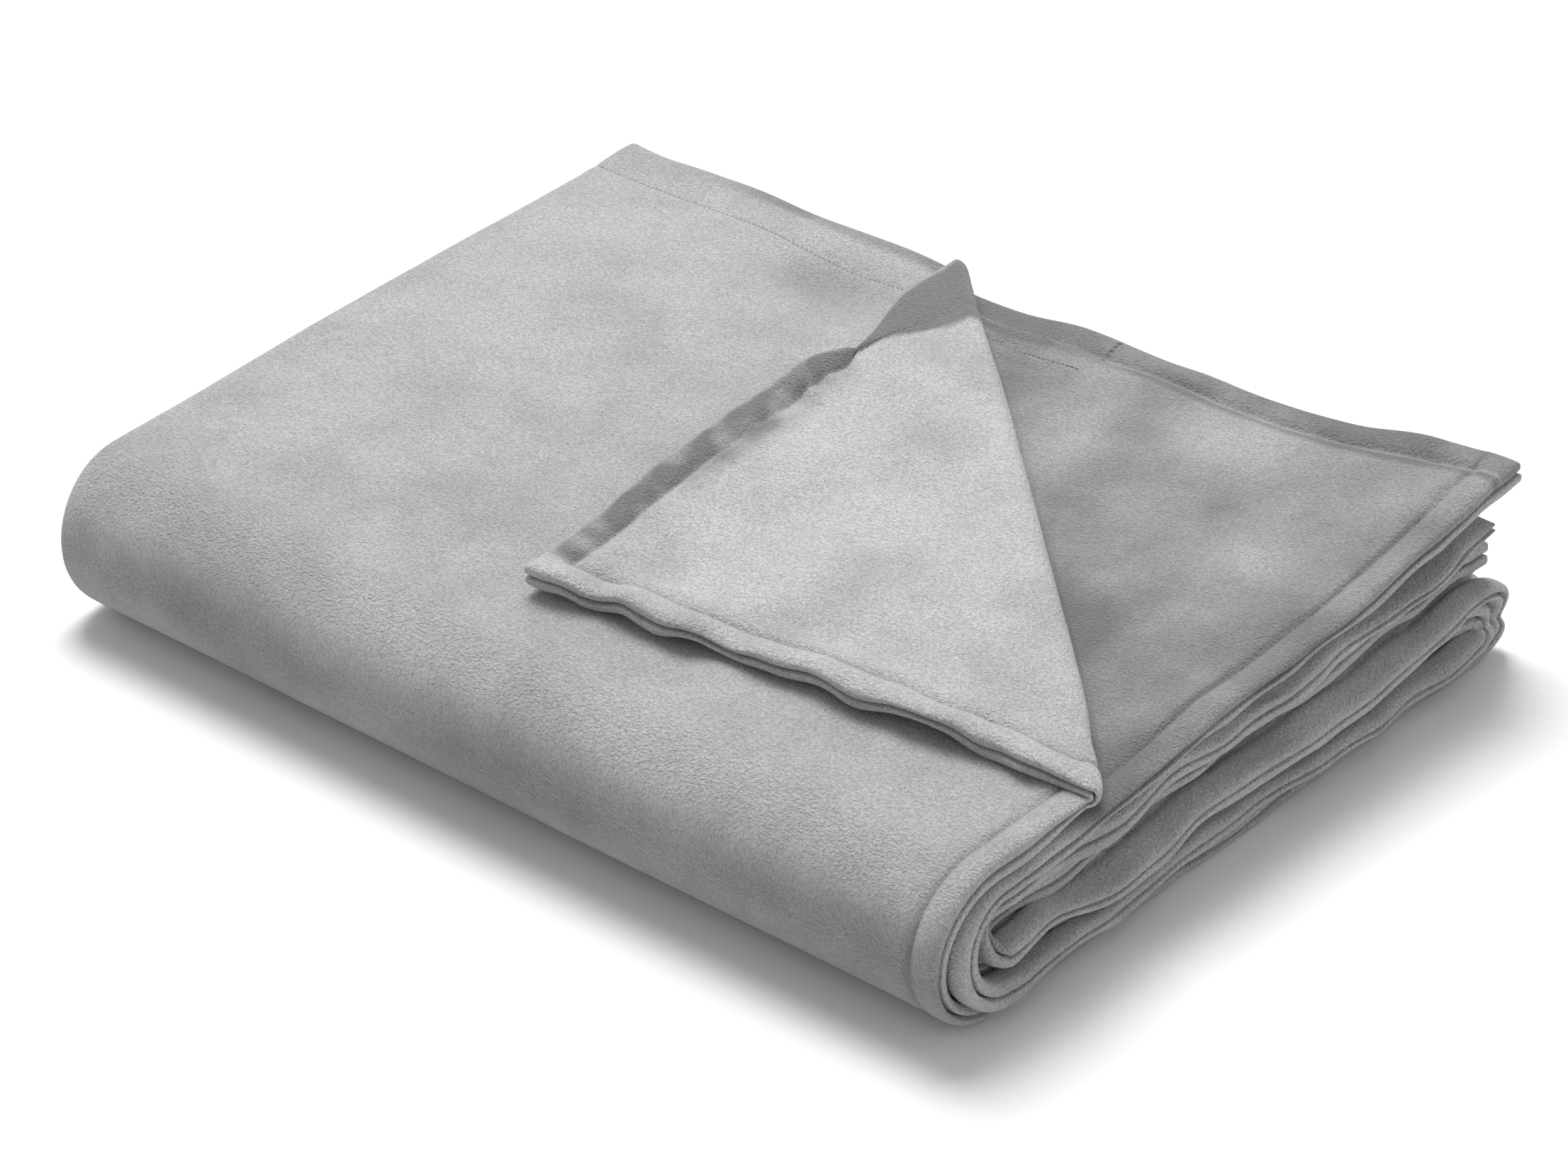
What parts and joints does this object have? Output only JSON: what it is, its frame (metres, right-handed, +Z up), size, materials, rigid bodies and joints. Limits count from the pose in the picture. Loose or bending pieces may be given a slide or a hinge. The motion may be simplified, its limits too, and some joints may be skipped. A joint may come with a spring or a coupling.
{
  "type": "folded throw blanket",
  "caption": "Plush two-panel throw folded into a rectangular stack, rolled along one long side, with a corner of the top leaf turned back; it unfolds at the roll and at the corner.",
  "frame": {"origin": "middle of the folded stack's footprint, on the surface that it lies on", "axes": "+X along the long rolled fold, from the side folds to the hemmed side; +Y from the rolled fold to the loose ends; +Z up"},
  "size_m": [0.6, 0.4299, 0.1006],
  "materials": {
    "front_plush": "short-pile grey plush, soft clouded nap",
    "back_plush": "short-pile grey plush, soft clouded nap",
    "sewing_thread": "matching grey spun polyester thread"
  },
  "bodies": {
    "lower_half": {"back_panel_end_fold": "back_plush", "back_panel_innermost_long_fold": "back_plush", "back_panel_outermost_long_fold": "back_plush", "back_panel_quarter_2": "back_plush", "back_panel_quarter_3": "back_plush", "back_panel_second_long_fold": "back_plush", "back_panel_third_long_fold": "back_plush", "front_panel_end_fold": "front_plush", "front_panel_innermost_long_fold": "front_plush", "front_panel_outermost_long_fold": "front_plush", "front_panel_quarter_2": "front_plush", "front_panel_quarter_3": "front_plush", "front_panel_second_long_fold": "front_plush", "front_panel_third_long_fold": "front_plush", "side_hem_thread_quarter_2": "sewing_thread", "side_hem_thread_quarter_3": "sewing_thread"},
    "upper_half": {"back_panel_corner_crease": "back_plush", "back_panel_quarter_1": "back_plush", "back_panel_quarter_4": "back_plush", "end_hem_thread_quarter_1": "sewing_thread", "end_hem_thread_quarter_4": "sewing_thread", "front_panel_corner_crease": "front_plush", "front_panel_quarter_1": "front_plush", "front_panel_quarter_4": "front_plush", "opening_bartack_quarter_1": "sewing_thread", "opening_hem_thread_quarter_1": "sewing_thread", "side_hem_thread_quarter_1": "sewing_thread", "side_hem_thread_quarter_4": "sewing_thread"},
    "corner_flap": {"back_panel_turned_corner": "back_plush", "end_hem_thread_turned_corner": "sewing_thread", "front_panel_turned_corner": "front_plush", "opening_bartack_turned_corner": "sewing_thread", "opening_hem_thread_turned_corner": "sewing_thread", "side_hem_thread_turned_corner": "sewing_thread"}
  },
  "joints": [
    {"name": "long_fold", "type": "hinge", "parent": "lower_half", "child": "upper_half", "pos_m": [0, -0.1705, 0.0503], "axis": [1, 0, 0], "range_deg": [0, 179.9], "deforming": ["back_panel_innermost_long_fold", "back_panel_outermost_long_fold", "back_panel_second_long_fold", "back_panel_third_long_fold", "front_panel_innermost_long_fold", "front_panel_outermost_long_fold", "front_panel_second_long_fold", "front_panel_third_long_fold"]},
    {"name": "corner_fold", "type": "hinge", "parent": "upper_half", "child": "corner_flap", "pos_m": [0.1207, 0.0519, 0.0893], "axis": [-0.7429, 0.6694, 0], "range_deg": [0, 158], "deforming": ["back_panel_corner_crease", "front_panel_corner_crease"]}
  ]
}
